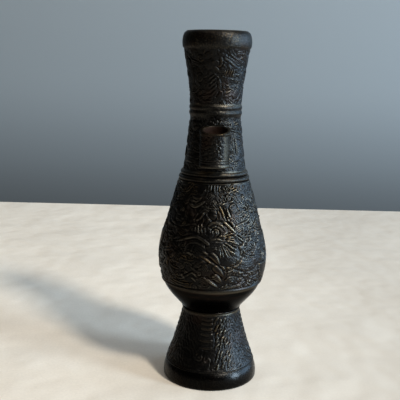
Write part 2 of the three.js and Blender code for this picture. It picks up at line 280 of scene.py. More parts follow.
class Relief:
    """The height of a cast relief at the points of one turned wall, in millimetres.

    The wall starts at one level. Forms rise from it inside narrow trenches, and lines are cut in.
    """

    LEVEL = 0.55
    TRENCH = 0.55

    def __init__(self, angle, z, outline, seed):
        """The points are kept in order of height, so that those near a stroke are found fast."""
        self.order = np.argsort(z, kind="stable")
        self.angle = angle[self.order]
        self.z = z[self.order]
        self.outline = outline
        self.lift = np.full(len(angle), self.LEVEL)
        self.drawn = np.zeros(len(angle))
        self.random = np.random.default_rng(seed)

    def heights(self):
        """The relief's height at the points in the order they were given."""
        back = np.empty(len(self.lift))
        back[self.order] = self.lift
        return back

    def radius(self, z):
        return np.interp(z, self.outline[:, 1], self.outline[:, 0])

    def degrees(self, mm, z):
        """How many degrees a length round the wall takes up at a height."""
        return np.degrees(mm / self.radius(z))

    def near(self, a, z, reach):
        """Points near a spot, with their place from it in millimetres."""
        first, last = np.searchsorted(self.z, (z - reach, z + reach))
        u = np.radians((self.angle[first:last] - a + 180) % 360 - 180) * self.radius(z)
        found = np.flatnonzero(np.abs(u) < reach)
        return found + first, u[found], self.z[found + first] - z

    def along(self, path, reach):
        """Points near a path: distance from it, side of it, share along it, and its length."""
        middle = (path[:, 0].min() + path[:, 0].max()) / 2
        scale = math.radians(1) * self.radius(path[:, 1].mean())
        line = np.column_stack([(path[:, 0] - middle) * scale, path[:, 1]])
        low, high = line.min(0) - reach, line.max(0) + reach
        first, last = np.searchsorted(self.z, (low[1], high[1]))
        u = ((self.angle[first:last] - middle + 180) % 360 - 180) * scale
        found = np.flatnonzero((u > low[0]) & (u < high[0]))
        u = u[found]
        found += first
        step = np.diff(line, axis=0)
        from_start = np.column_stack([u, self.z[found]])[:, None] - line[None, :-1]
        t = np.clip((from_start * step).sum(2) / np.maximum((step**2).sum(1), 1e-9), 0, 1)
        gap = from_start - t[..., None] * step
        square = (gap**2).sum(2)
        k = square.argmin(1)
        rows = np.arange(len(found))
        side = np.sign(step[k, 0] * gap[rows, k, 1] - step[k, 1] * gap[rows, k, 0])
        share = (k + t[rows, k]) / len(step)
        return found, np.sqrt(square[rows, k]), side, share, np.hypot(*step.T).sum()

    def lay(self, found, shape, outside, lift, moat):
        """Raises a form, given as its shape from 0 to 1 and the distance outside its edge."""
        trench = smooth(1 - np.abs(outside - 0.2) / 0.34)
        self.lift[found] -= self.TRENCH * moat * trench
        raised = self.LEVEL + (lift - self.LEVEL) * shape
        self.lift[found] = np.where(outside < 0, np.maximum(self.lift[found], raised), self.lift[found])
        self.drawn[found[outside < 0.3]] = 1

    def ridge(self, points, width, lift, ends=(0.3, 0.3), crest=0.5, moat=0.5, add=False):
        """A rounded ridge along a curve, drawn out thin at its ends."""
        found, d, _, s, _ = self.along(through(points), width / 2 + 0.6)
        thin = smooth(s / ends[0]) ** 0.5 * smooth((1 - s) / ends[1]) ** 0.5
        half = width / 2 * np.maximum(thin, 0.12)
        shape = np.maximum(thin, 0.3) * np.clip(1 - (d / half) ** 2, 0, 1) ** crest
        if add:
            self.lift[found] += lift * shape
        else:
            self.lay(found, shape, d - half, lift, moat * thin)

    def groove(self, points, width, depth, ends=(0.3, 0.3)):
        """A line cut along a curve, with the metal pushed up a little on both sides."""
        found, d, _, s, _ = self.along(through(points), width)
        thin = smooth(s / ends[0]) ** 0.5 * smooth((1 - s) / ends[1]) ** 0.5
        q = d / (width / 2 * np.maximum(thin, 0.12))
        self.lift[found] -= depth * thin * np.clip(1 - q * q, 0, 1)
        self.lift[found] += 0.22 * depth * thin * smooth(1 - np.abs(q - 1.4) / 0.6)
        self.drawn[found] = 1

    def dome(self, a, z, wide, high, lift, tilt=0, moat=0.5, add=False, crest=0.5):
        """An oval boss; wide and high are its half sizes, and tilt turns it, in degrees."""
        found, u, v = self.near(a, z, max(wide, high) + 0.6)
        c, s = cos_sin(tilt)
        q = np.hypot((c * u + s * v) / wide, (c * v - s * u) / high)
        shape = np.clip(1 - q * q, 0, 1) ** crest
        if add:
            self.lift[found] += lift * shape
        else:
            self.lay(found, shape, (q - 1) * min(wide, high), lift, moat)

    def spot(self, a, z, across, up):
        """The point some millimetres to the right of and above another."""
        return a + self.degrees(across, z), z + up

    def toward(self, a, z, reach, angle):
        """The point some millimetres off in a direction, in radians from the right."""
        return self.spot(a, z, reach * math.cos(angle), reach * math.sin(angle))

    def winding(self, a, z, size, hand, turns, start, closing, count):
        """Points that wind in on a spot; closing is the share of the reach that they lose."""
        t = np.linspace(0, 1, count)
        angle = math.radians(start) + hand * t * turns * math.tau
        reach = size * (1 - closing * t)
        return [self.toward(a, z, r, x) for r, x in zip(reach, angle)]

    def curl(self, a, z, size, lift, hand, turns, start, width=0.36):
        """A scroll that winds in to a small knob."""
        path = self.winding(a, z, size, hand, turns, start, 0.82, 22)
        self.ridge(path[::3] + path[-1:], size * width, lift, (0.2, 0.05), moat=0.6)
        self.dome(a, z, size * 0.22, size * 0.22, lift, moat=0)

    def whorl(self, a, z, size, depth, hand, turns, start):
        """A scroll line cut into the wall."""
        path = self.winding(a, z, size, hand, turns, start, 0.85, 12)
        self.groove(path, 0.5, depth, (0.2, 0.1))

    def cloud(self, a, z, size, lift, hand, tail, tilt):
        """A cloud: two scrolls cut side by side, over lines that trail away."""
        c, s = cos_sin(tilt)

        def at(across, up):
            across = across * hand
            return self.spot(a, z, size * (c * across - s * up), size * (s * across + c * up))

        belly = [at(-1.1, -0.5), at(0.1, -0.85), at(1.2, -0.6), at(tail + 0.8, 0.1)]
        self.ridge(belly, size * 0.4, lift)
        self.whorl(*at(-0.5, 0), size * 0.72, 0.6, -hand, 1.6, 90 + tilt)
        self.whorl(*at(0.75, 0.35), size * 0.5, 0.5, hand, 1.3, tilt)
        self.groove([at(0.4, -0.35), at(1.3, -0.25), at(tail + 0.4, 0.35)], 0.5, 0.5)

    def leaf(self, a, z, size, lift, way, lines=3, hand=1):
        """A lock or flame: one curved form with lines cut along it."""
        c, s = cos_sin(way)
        bends = ((-0.5, -0.1, 0.6), (-0.1, 0.12, 1), (0.25, 0.08, 0.7), (0.5, -0.2, 0.2))

        def line(off):
            points = []
            for t, bend, spread in bends:
                run, side = size * 1.9 * t, off * spread + hand * bend * size
                points.append(self.spot(a, z, c * run - s * side, s * run + c * side))
            return points

        self.ridge(line(0), size * 1.1, lift, (0.35, 0.6), moat=0.7, crest=0.25)
        for off in np.linspace(-0.3, 0.3, lines) * size:
            self.groove(line(off), 0.42, 0.42, (0.3, 0.3))

    def fan(self, a, z, first, last, near, far, count, width, lift):
        """Strokes that spread from a spot, between two directions in degrees."""
        for i, way in enumerate(np.linspace(first, last, count)):
            reach = far * (1 - 0.16 * (i % 2))
            turn = math.radians(way)
            path = [self.toward(a, z, near + (reach - near) * t, turn) for t in (0, 0.5, 1)]
            self.ridge(path, width, lift, (0.15, 0.5), moat=0.35)

    def comb(self, start, end, across, up, count, width, lift):
        """Like strokes side by side, their feet between two points."""
        for t in np.linspace(0, 1, count):
            jog = self.random.uniform(-0.3, 0.3, 4)
            a, z = start[0] + (end[0] - start[0]) * t, start[1] + (end[1] - start[1]) * t + jog[0]
            tip = self.spot(a, z, across + jog[1], up * (1 + jog[2]))
            path = [(a, z), self.spot(a, z, across / 2 + jog[3], up * 0.55), tip]
            self.ridge(path, width * (1 + jog[3]), lift, (0.2, 0.4), moat=0.6)

    def serpent(self, points, width, lift, scale=0.95, fin=1):
        """A scaled body with a toothed crest along one side."""
        path = through(points, 10)
        found, d, side, s, run = self.along(path, width)
        thin = smooth(s / 0.1) ** 0.5 * smooth((1 - s) / 0.5) ** 0.7
        half = width / 2 * np.maximum(thin, 0.15)
        q = d / half
        shape = np.maximum(thin, 0.5) * np.clip(1 - q * q, 0, 1) ** 0.35
        row = side * d / scale
        stagger = np.floor(row) % 2 * 0.5
        u = (s * run / scale + stagger) % 1
        v = row % 1 - 0.5
        flake = 1 - np.clip(np.hypot(u - 0.15, v * 1.1) / 0.85, 0, 1) ** 2
        tooth = np.abs((s * run / (1.35 * scale)) % 1 - 0.5) * 2
        crest = (side == fin) & (q > 1) & (q < 1.5 - 0.35 * tooth)
        self.lay(found, shape, d - half * np.where(side == fin, 1.5, 1), lift, 0.9)
        self.lift[found] += np.where(q < 0.92, 0.3 * (flake - 0.5), 0)
        self.lift[found] += np.where(crest, 0.45 * (lift - 0.2), 0)

    def claw(self, a, z, way, size, lift):
        """A spread foot of curved claws."""
        self.dome(a, z, size * 0.36, size * 0.3, lift, way, moat=0.6)
        for turn, bend in ((-58, -26), (-22, -16), (16, 16), (54, 28)):
            path = []
            for t in (0.2, 0.6, 1):
                path.append(self.toward(a, z, size * t, math.radians(way + turn + bend * t)))
            self.ridge(path, size * 0.3, lift, (0.1, 0.7), moat=0.6)

    def pebbles(self, low, high, first, last, size, lift):
        """Close-set small rounded bumps."""
        z = low
        while z < high:
            wide = self.degrees(size * 1.8, z)
            for a in np.arange(first, last, wide):
                jog = self.random.uniform(-0.3, 0.3, 3)
                here = self.spot(a, z, jog[0] * size * 2, jog[1] * size * 2)
                self.dome(*here, size * (1 + jog[2]), size, lift * (1 + jog[2]), add=True)
            z += size * 1.7

    def taken(self, a, z, reach):
        """How much of the wall round a spot is drawn on already, from 0 to 1."""
        found, _, _ = self.near(a, z, reach)
        return self.drawn[found].mean() if len(found) else 1

    def fill(self, low, high, size, lift, full, mix, first=0, last=360):
        """Clouds, locks and small scrolls wherever the wall is still bare.

        full is how much of a spot may be drawn on, and mix gives the shares of clouds and of
        locks; the rest are single scrolls.
        """
        clouds, locks = mix
        z = low
        while z < high:
            a = first + self.random.uniform(0, 8)
            while a < last:
                s = size * self.random.uniform(0.7, 1.25)
                here = self.spot(a, z, 0, self.random.uniform(-0.4, 0.4) * s)
                hand = self.random.choice((-1, 1))
                kind, way = self.random.random(), self.random.uniform(-60, 60)
                tall = lift * self.random.uniform(0.65, 1)
                if self.taken(*here, s * 0.8) < full:
                    if kind < clouds:
                        self.cloud(*here, s, tall, hand, self.random.uniform(1.6, 3), way * 0.6)
                    elif kind < clouds + locks:
                        self.leaf(*here, s * 1.3, tall, way, self.random.integers(2, 4), hand)
                    else:
                        self.curl(*here, s * 0.9, tall, hand, 1.6, way * 3)
                a += self.degrees(s * 1.3, z)
            z += size * 1.1

    def skin(self, *layers):
        """Uneven cast skin, in layers of bumps given by their pitch and lift."""
        for pitch, lift in layers:
            self.lift += lift * self.bumps(pitch)

    def bumps(self, pitch):
        """Smooth random bumps about a pitch apart, from -1 to 1."""
        v = (self.z - self.z.min()) / pitch
        across = int(360 / self.degrees(pitch, self.z.mean()))
        u = self.angle / 360 % 1 * across + 0.4 * v
        i, j = np.floor(u).astype(int), np.floor(v).astype(int)
        bumps = self.random.uniform(-1, 1, (across, j.max() + 2))
        u, v = smooth(u - i), smooth(v - j)
        i, beside = i % across, (i + 1) % across
        low = bumps[i, j] * (1 - u) + bumps[beside, j] * u
        high = bumps[i, j + 1] * (1 - u) + bumps[beside, j + 1] * u
        return low * (1 - v) + high * v

    def strokes(self, low, high, run, count, width, lift):
        """Short raised strokes that lie side by side in slowly turning directions."""
        for _ in range(count):
            a, z = self.random.uniform(-180, 180), self.random.uniform(low, high)
            way = 48 * math.sin(0.07 * a + 0.16 * z) + 42 * math.sin(0.31 * z - 0.034 * a)
            c, s = cos_sin(way + self.random.uniform(-14, 14))
            half, bend = run * self.random.uniform(0.3, 0.65), self.random.uniform(-0.5, 0.5)
            path = []
            for t, side in ((-half, 0), (0, bend), (half, 0)):
                path.append(self.spot(a, z, t * c - side * s, t * s + side * c))
            self.ridge(path, width, lift * self.random.uniform(0.5, 1), (0.25, 0.5), add=True)

    def scratches(self, low, high, run, count, width, depth):
        """Short curved cuts in all directions."""
        for _ in range(count):
            a, z = self.random.uniform(-180, 180), self.random.uniform(low, high)
            turn, bend = self.random.uniform(-90, 90), self.random.uniform(-0.2, 0.2)
            c, s = cos_sin(turn)
            path = []
            for t, side in ((-0.5, 0), (0, bend), (0.5, 0)):
                path.append(self.spot(a, z, run * (t * c - side * s), run * (t * s + side * c)))
            self.groove(path, width, depth * self.random.uniform(0.5, 1))


def averaged(mesh, values):
    """Values averaged with their neighbours' a few times over."""
    pairs = np.zeros(len(mesh.edges) * 2, np.int32)
    mesh.edges.foreach_get("vertices", pairs)
    a, b = pairs.reshape(-1, 2).T
    count = np.bincount(a, minlength=len(values)) + np.bincount(b, minlength=len(values))
    for _ in range(WEAR_ROUNDS):
        total = np.bincount(a, values[b], len(values))
        total += np.bincount(b, values[a], len(values))
        values = 0.5 * values + 0.5 * total / np.maximum(count, 1)
    return values


def keep_value(mesh, name, values):
    attribute = mesh.attributes.new(name, "FLOAT", "POINT")
    attribute.data.foreach_set("value", values.astype(np.float32))


def vectors(items, name):
    """A vector value of a mesh's points as one row for each."""
    values = np.zeros(len(items) * 3, np.float32)
    items.foreach_get(name, values)
    return values.reshape(-1, 3).astype(float)


def keep_wear_and_sheen(mesh, rubbed=(0, 0, 0)):
    """Keeps how far each point stands out of its surroundings, where hands rub the bronze.

    What faces along the vector rubbed counts as well: a painted highlight on walls facing the lamps.
    """
    place, facing = vectors(mesh.vertices, "co"), vectors(mesh.vertex_normals, "vector")
    proud = np.zeros(len(place))
    for value, turn in zip(place.T, facing.T):
        proud += (value - averaged(mesh, value)) * turn
    # Painted highlight: walls that face the lamps take the rubbed bronze, as proud edges do
    toward_light = 0.8 * smooth((facing @ rubbed - 0.6) / 0.3)
    keep_value(mesh, "edge", proud / (WEAR_STEP * MM) + toward_light)


def carve(piece, outline, low, high, draw, seed, boldness=1.0, fade=0.5):
    """Moves a turned wall in and out along its outline's normals, as a drawn relief says."""
    sizes = bpy.context.scene.arrow_vase_sizes
    ground, top = (boldness * depth / MM for depth in (sizes.ground, sizes.relief))
    mesh = piece.data
    co = vectors(mesh.vertices, "co") / MM
    x, y, z = co.T.copy()
    radius = np.hypot(x, y)
    wall = np.interp(z, outline[:, 1], outline[:, 0])
    skin = np.flatnonzero((radius > wall - 0.6) & (z > low - 1e-3) & (z < high + 1e-3))
    relief = Relief(np.degrees(np.arctan2(x, -y))[skin], z[skin], outline, seed)
    draw(relief)
    lift = top * np.tanh(boldness * np.maximum(relief.heights(), -0.3) / top)
    share = smooth((z[skin] - low) / fade) * smooth((high - z[skin]) / fade)
    slope = np.gradient(outline[:, 0], outline[:, 1])
    lean = np.interp(z[skin], outline[:, 1], slope)
    move = (lift - ground) * share
    out = move / np.hypot(1, lean)
    co[skin, 0] += out * x[skin] / radius[skin]
    co[skin, 1] += out * y[skin] / radius[skin]
    co[skin, 2] -= out * lean
    mesh.vertices.foreach_set("co", (co * MM).astype(np.float32).ravel())
    mesh.update()
    height = np.full(len(co), ground)
    height[skin] = ground + move
    keep_value(mesh, "lift", height / top)
    carved = np.zeros(len(co))
    carved[skin] = share
    keep_value(mesh, "carved", carved)


def turned_by(turn):
    """Shifts a row of (degrees, height) points round the vase."""
    return lambda *points: [(a + turn, z) for a, z in points]


def draw_head(relief, turn):
    """The dragon's head in profile: snout, eye, brow, horn and mane."""
    p = turned_by(turn)
    relief.dome(13 + turn, 62.6, 8.2, 6.2, 0.75, -35, moat=0.8, crest=0.35)
    relief.dome(2 + turn, 69.6, 5.4, 5.8, 0.8, 0, moat=0.7, crest=0.3)
    relief.dome(-13 + turn, 68.6, 5.2, 3.0, 0.6, 0, moat=0.5, crest=0.3)
    for way in np.linspace(38, -62, 12):
        jog = relief.random.uniform(-1, 1, 3)
        path = []
        for t in (0.32, 0.6, 1):
            angle = math.radians(way + 4 * jog[0] - 16 * t)
            path.append(relief.toward(6 + turn, 66, (8.2 + jog[1]) * t, angle))
        relief.groove(path, 0.65 + 0.1 * jog[2], 0.6, (0.3, 0.2))
    snout = p((-46, 64.2), (-38, 65), (-32, 65.9), (-21, 67.1), (-14, 66.7), (-6, 64.9), (-2, 63.6))
    relief.ridge(snout, 1.3, 1.3, (0.3, 0.15), moat=0.9)
    relief.ridge(p((-30, 64), (-20, 64.8), (-12, 63.9), (-6, 62.2)), 0.8, 0.8, moat=0.8)
    relief.ridge(p((-4, 66), (1, 66.4), (7, 66.5), (12, 65.6)), 1.0, 1.2, moat=0.8)
    for a, z, run, lift in (
        (-24.6, 70.4, 1.2, 0.8),
        (-20.8, 71, 2.2, 0.9),
        (-17.4, 72, 3.9, 1),
        (-13.4, 72.6, 4.5, 1),
        (-9.4, 71.3, 3.1, 0.9),
    ):
        lock = p((a - 0.4, z), (a, z - run / 2), (a + 1.7, z - run))
        relief.ridge(lock, 1.05, lift, (0.2, 0.4), moat=0.8)
    upper_lid = p((-2.2, 69.1), (-0.4, 70.4), (3, 70.8), (6.6, 70.3), (8.2, 69))
    lower_lid = p((6.4, 67.9), (3, 67.4), (-0.6, 67.9))
    pupil = p((0.8, 68.8), (1.6, 69.8), (4.4, 69.8), (5.6, 68.9), (4, 68.2))
    brow = p((-7, 71), (-3, 72.4), (3, 73), (10, 72), (15, 69.8))
    relief.groove(upper_lid + lower_lid, 0.75, 0.6, (0.05, 0.3))
    relief.groove(pupil, 0.6, 0.5, (0.1, 0.3))
    relief.ridge(brow, 1.3, 1.35, (0.25, 0.25), moat=0.6)
    relief.dome(7 + turn, 75.2, 4.4, 2.2, 0.9, -20, crest=0.35)
    for k in range(5):
        relief.groove(p((-2 + 4 * k, 74), (-1 + 4 * k, 77)), 0.45, 0.35)
    relief.ridge(p((12.5, 73.6), (17, 72.2), (23, 70.2), (30, 67.7)), 1.1, 1.45, (0.15, 0.5), moat=1.0)
    relief.groove(p((16, 73.9), (21, 72.4), (25, 70.8)), 1.1, 1.1)
    relief.dome(0 + turn, 76.7, 1.4, 2.5, 1.15, 4, moat=0.8)
    relief.ridge(p((7, 80.2), (11, 77.6), (15.5, 73.6)), 1.1, 1.1, moat=0.7)
    relief.ridge(p((17.5, 79.2), (20, 76.6), (22, 74.4)), 1.0, 1.0, moat=0.7)
    relief.groove(p((12.6, 79.6), (15.2, 76.6), (18.2, 73.2)), 1.1, 1.2)


def draw_claws(relief, turn):
    """Legs and claws in front of the chest, over the waves."""
    p = turned_by(turn)
    relief.ridge(p((-15, 60.4), (-7, 58.6), (1, 56.3)), 1.0, 1.3, moat=0.9)
    relief.ridge(p((-12, 62), (-4, 60.2), (4, 57.6)), 0.95, 1.25, moat=0.9)
    for start, middle, end in (
        ((-4, 60.9), (2, 59.4), (9, 55.4)),
        ((0, 56.2), (6, 54), (13.5, 50.6)),
        ((0, 52.2), (5, 50.6), (11.5, 48)),
    ):
        relief.ridge(p(start, middle, end), 2.8, 1.5, (0.3, 0.5), moat=1.0, crest=0.6)
        relief.groove(p(middle, end), 0.4, 0.3)
    relief.ridge(p((-7, 50.4), (0, 48.4), (8, 46.1)), 1.35, 1.4, (0.15, 0.5), moat=0.9)
    for a, z in ((-22, 52.6), (-23, 50.4), (-27, 56.8), (-33, 59.4), (-28, 61)):
        relief.ridge(p((a, z), (a + 3.6, z - 0.7), (a + 7, z - 2)), 0.9, 1.1, moat=0.8)
    relief.claw(33 + turn, 62.6, -20, 3.6, 1.05)
    relief.claw(-54 + turn, 56.4, 200, 4.2, 1.2)
    relief.ridge(p((-40, 60.6), (-45, 58.6), (-52, 56.6)), 1.8, 1.05)


def draw_dragon(relief, turn):
    """One side of the belly: a dragon in clouds above a border of waves."""
    p = turned_by(turn)
    relief.dome(-44 + turn, 75, 7.2, 4.6, 0.7, 0, crest=0.3)
    tufts = ((-53, 76.4, 1.5), (-44, 77.6, 1.4), (-36, 75.8, 1.5), (-48, 73, 1.6), (-38, 72.2, 1.4))
    for k, (a, z, size) in enumerate(tufts):
        relief.leaf(a + turn, z, 1.3 * size, 1.05, 65 * k - 20, 2, (-1) ** k)
    relief.pebbles(46.9, 56, 15 + turn, 42 + turn, 0.45, 0.22)
    back = p((12, 62), (20, 58.4), (32, 55.6), (46, 55), (58, 58))
    shoulder = p((68, 64), (70, 71), (62, 77), (50, 80))
    relief.serpent(back + shoulder, 4.6, 0.8)
    tail = p((-120, 54), (-106, 51), (-94, 54), (-86, 60), (-78, 66), (-68, 68), (-60, 64))
    relief.serpent(tail, 5.2, 1.45, fin=-1)
    for side, z, tall in ((-86, 50.4, 1.8), (-87, 64.4, 2.2), (86, 59.4, 2.8), (88, 51.6, 1.8)):
        relief.dome(side + turn, z, 2.6, tall, 1.5, 10, moat=0.8)
    draw_head(relief, turn)
    draw_claws(relief, turn)
    relief.ridge(p((-36, 80), (-30, 79.3), (-24, 79), (-16, 80.4), (-9, 81.8)), 1.4, 1.4, moat=0.9)
    relief.ridge(p((-33, 83.4), (-26, 82.2), (-20, 82.2), (-14, 83.4)), 1.0, 1.15, moat=0.8)
    relief.ridge(p((-31, 81.8), (-25, 80.9), (-18, 81.7)), 0.7, 0.9, moat=0.8)
    relief.leaf(-28 + turn, 85.4, 2.4, 0.9, 20, 3)
    relief.comb((-25 + turn, 72.8), (-17 + turn, 73.6), 2.4, 4.6, 3, 1.0, 1.25)
    relief.comb((-9 + turn, 85.2), (9 + turn, 85), 0.2, 2.8, 5, 1.0, 0.9)
    scrolls = ((42, 73, 2.4, 1, 30), (36, 82.6, 2.2, -1, 120), (27, 78.6, 2.2, 1, 200))
    for a, z, size, hand, start in scrolls:
        relief.curl(a + turn, z, size, 0.7, hand, 2.1, start, 0.3)
    for k in range(3):
        low = 1.05 * k
        wave = p((-52, 48.4 - low), (-40, 47.4 - low), (-26, 46.9 - 0.9 * k))
        relief.ridge(wave, 0.8, 0.95 - 0.1 * k)
    relief.ridge(p((8, 46.5), (18, 46.2), (30, 46.8), (42, 48.2)), 1.2, 1.0)


def draw_belly(relief):
    """Two dragons, front and back, over a ground of strokes, and a fine bead along the hem."""
    relief.strokes(46.5, 87, 3.6, 900, 0.75, 0.4)
    for turn in (0, 180):
        draw_dragon(relief, turn)
    relief.fill(46.4, 86.5, 1.8, 0.95, 0.5, mix=(0.35, 0.55))
    relief.scratches(46, 87.5, 2.2, 600, 0.42, 0.4)
    relief.skin((7, 0.4), (3, 0.14), (1.1, 0.06), (0.6, 0.04))
    found = np.flatnonzero(relief.z < 45.6)
    relief.lift[found] = 0.5 + 0.25 * np.sin((relief.z[found] - 44.2) / 1.4 * math.tau)


def draw_foot(relief):
    """Upright ladders between columns of feathered hatching, and scrolls in between."""
    for turn in (-6, 84, 174, 264):
        for z in (28.9, 27.1, 25.0, 22.7, 20.2, 17.4):
            rung = [(turn - 12, z + 0.35), (turn, z - 0.1), (turn + 11, z + 0.25)]
            relief.ridge(rung, 1.15, 1.1, (0.12, 0.15), moat=0.8)
        for a, z in ((turn - 9, 13.6), (turn + 3, 12.6)):
            relief.curl(a, z, 1.9, 1.0, 1, 1.2, 90, 0.4)
        relief.leaf(turn + 4, 10.4, 1.9, 1.0, 75, 3)
        columns = ((16, 1.5), (23.5, 1.45), (31, 1.0), (38.5, 0.3))
        for side, bold in ((-1, 0.35), (1, 1)):
            for reach, lift in columns:
                for tier in range(8):
                    jog = relief.random.uniform(-1, 1, 4)
                    a = turn + side * (reach - 0.3 * tier + 2 * jog[0])
                    z = 8.6 + 2.6 * tier + 0.7 * jog[1]
                    way, run = math.radians(58 + 14 * jog[2]), 3.7 + 0.9 * jog[3]
                    tip = relief.spot(a, z, side * run * math.cos(way), run * math.sin(way))
                    middle = relief.spot(a, z, side * 0.6, 1.7)
                    wide = 1.08 + 0.2 * jog[0]
                    relief.ridge([(a, z), middle, tip], wide, lift * bold, (0.2, 0.4), moat=0.8)
    relief.fill(9, 29, 1.5, 0.6, 0.45, mix=(0.25, 0.55))
    relief.scratches(8.6, 30, 1.8, 180, 0.4, 0.4)
    relief.skin((5, 0.35), (1.3, 0.08), (0.6, 0.07))


def draw_neck(relief):
    """Short strokes and scrolls from the shoulder up to the double bead."""
    relief.strokes(94, 115, 3, 260, 0.7, 0.5)
    for turn in (0, 180):
        for k, z in enumerate((96.4, 98.6, 101.4)):
            line = [(-84 + turn, z), (-60 + turn, z + 0.3), (-40 + turn, z - 0.2)]
            relief.ridge(line, 0.9, 0.9 - 0.1 * k)
        for a, z, size, hand in (
            (-66, 104.6, 1.7, 1),
            (-50, 107.5, 1.6, -1),
            (-74, 109.6, 1.6, 1),
            (-44, 103, 1.5, 1),
            (64, 97, 1.7, -1),
            (70, 106.4, 1.6, 1),
            (88, 101.6, 1.6, 1),
            (98, 108, 1.5, -1),
            (94, 95.6, 1.5, -1),
        ):
            relief.curl(a + turn, z, size, 0.9, hand, 1.6, 40 * hand, 0.42)
        for z, tall in ((100.3, 2.4), (105.2, 1.9), (109.4, 1.6)):
            relief.dome(-88 + turn, z, 1.8, tall, 2.4, 0, moat=0.6)
        for k in range(5):
            a = 36 + 3.8 * k + turn
            relief.ridge([(a, 110), (a + 1.2, 106), (a + 3.4, 98)], 0.65, 1.0, moat=0.7)
        relief.groove([(43 + turn, 108), (45 + turn, 104), (47.8 + turn, 99)], 1.0, 0.9)
        relief.comb((-56 + turn, 93.4), (-30 + turn, 93.4), 0.8, 1.6, 7, 0.7, 0.7)
        relief.comb((30 + turn, 93.4), (60 + turn, 93.4), -0.8, 1.6, 8, 0.7, 0.7)
        relief.comb((-46 + turn, 113.3), (-12 + turn, 113.3), 0.5, 1.8, 6, 0.8, 0.8)
        for k in range(4):
            relief.dome(-6 + 9 * k + turn, 114.3 - 0.9 * (k % 2), 0.8, 0.5, 0.95, 20)
        relief.fan(42 + turn, 112.6, 150, 30, 0.4, 2.6, 6, 0.6, 1.0)
    relief.fill(94, 114.8, 1.5, 1.0, 0.45, mix=(0.3, 0.5))
    relief.scratches(93, 115, 1.6, 200, 0.4, 0.45)
    relief.skin((4, 0.4), (1.8, 0.25), (0.7, 0.12))


def draw_trumpet(relief):
    """Under the rim: a crested bird's wing and hooks among scrolls, all round."""
    relief.strokes(121, 142, 3, 260, 0.7, 0.5)
    for turn in (0, 120, 240):
        p = turned_by(turn)
        relief.dome(-6 + turn, 141.4, 2.2, 1.2, 0.9, 8)
        relief.comb((-16 + turn, 140.2), (2 + turn, 140.2), 0.3, 2, 5, 0.6, 0.8)
        relief.ridge(p((-1, 139.8), (6, 139.4), (9, 137.6), (6, 135.8), (1, 136)), 1.1, 1.2, moat=0.9)
        relief.groove(p((0, 138.2), (3, 138), (5, 137.4)), 0.9, 0.6)
        relief.ridge(p((-6, 136), (0, 134.6), (9, 132.6)), 1.1, 1.15, moat=0.8)
        relief.ridge(p((12, 139), (20, 138), (28, 137), (38, 135.4)), 1.05, 1.1, moat=0.8)
        relief.ridge(p((14, 141.4), (24, 140.4), (36, 138.8), (46, 138.2)), 0.85, 0.95)
        relief.comb((14 + turn, 131.6), (32 + turn, 131.2), 0.9, 3.2, 6, 0.8, 1.05)
        for k in range(5):
            z = 123.4 + 1.75 * k
            relief.ridge(p((-20 + k, z), (-10, z + 0.9), (1, z + 2.8)), 0.9, 1.0, moat=0.6)
        relief.ridge(p((4, 131.2), (6, 128.6), (7, 126)), 1.5, 1.1, (0.4, 0.3), moat=0.8)
        relief.dome(8 + turn, 123.4, 1.1, 2.5, 1.1, -12, moat=0.8)
        relief.comb((18 + turn, 127.8), (19 + turn, 123.2), 3, 1, 4, 0.8, 1.0)
        relief.comb((-4 + turn, 120.6), (4 + turn, 120.6), 0.4, 2.6, 3, 0.8, 1.0)
        relief.fan(-42 + turn, 121.4, 150, 30, 0.6, 3.4, 6, 0.75, 0.9)
        relief.serpent(p((44, 123), (54, 126), (64, 131), (60, 137), (50, 139.6)), 2.6, 0.9, 0.7)
        relief.curl(-34 + turn, 131, 2.0, 0.9, 1, 1.7, 0)
        relief.curl(-30 + turn, 139, 1.8, 0.85, -1, 1.6, 90)
    relief.fill(121.6, 141.6, 1.6, 1.0, 0.45, mix=(0.3, 0.55))
    relief.scratches(120.6, 142.2, 1.8, 220, 0.4, 0.45)
    relief.skin((4, 0.4), (1.7, 0.25), (0.7, 0.12))


def draw_tube(relief):
    """Granular wriggles between the plain end bands of an arrow tube."""
    low, high = relief.z.min() + 0.3, relief.z.max() - 0.3
    for k in range(2):
        z = low + 0.5 + 0.9 * k
        relief.ridge([(a, z) for a in range(-170, 171, 20)], 0.5, 0.8, (0.02, 0.02))
    for z in np.arange(low + 2.4, high - 1, 2.1):
        relief.curl(-36, z, 0.85, 1.0, 1, 1.2, 60 * z, 0.5)
    relief.fill(low + 2, high, 0.8, 1.0, 0.4, mix=(0, 0.25), first=-60, last=24)
    relief.scratches(low + 1.6, high, 1.2, 300, 0.36, 0.4)
    relief.skin((0.6, 0.2))
    relief.lift += (relief.LEVEL - relief.lift) * 0.8 * smooth((relief.angle - 14) / 28)


class Signal:
    """A shader socket; arithmetic on it adds Math nodes."""

    def __init__(self, finish, socket):
        self.finish = finish
        self.socket = socket

    def math(self, operation, *others):
        inputs = {i: value for i, value in enumerate((self, *others))}
        return self.finish.node("ShaderNodeMath", {"operation": operation}, inputs)

    def __add__(self, other):
        return self.math("ADD", other)

    def __radd__(self, other):
        return self.math("ADD", other)

    def __sub__(self, other):
        return self.math("SUBTRACT", other)

    def __rsub__(self, other):
        return self.finish.node("ShaderNodeMath", {"operation": "SUBTRACT"}, {0: other, 1: self})

    def __mul__(self, other):
        return self.math("MULTIPLY", other)

    def __rmul__(self, other):
        return self.math("MULTIPLY", other)

    def clamp(self, low=0.0, high=1.0):
        return self.math("MAXIMUM", low).math("MINIMUM", high)

    def between(self, low, high):
        """0 below low, 1 above high, smooth in between."""
        return self.finish.node(
            "ShaderNodeMapRange",
            {"interpolation_type": "SMOOTHSTEP"},
            {"Value": self, "From Min": low, "From Max": high},
        )


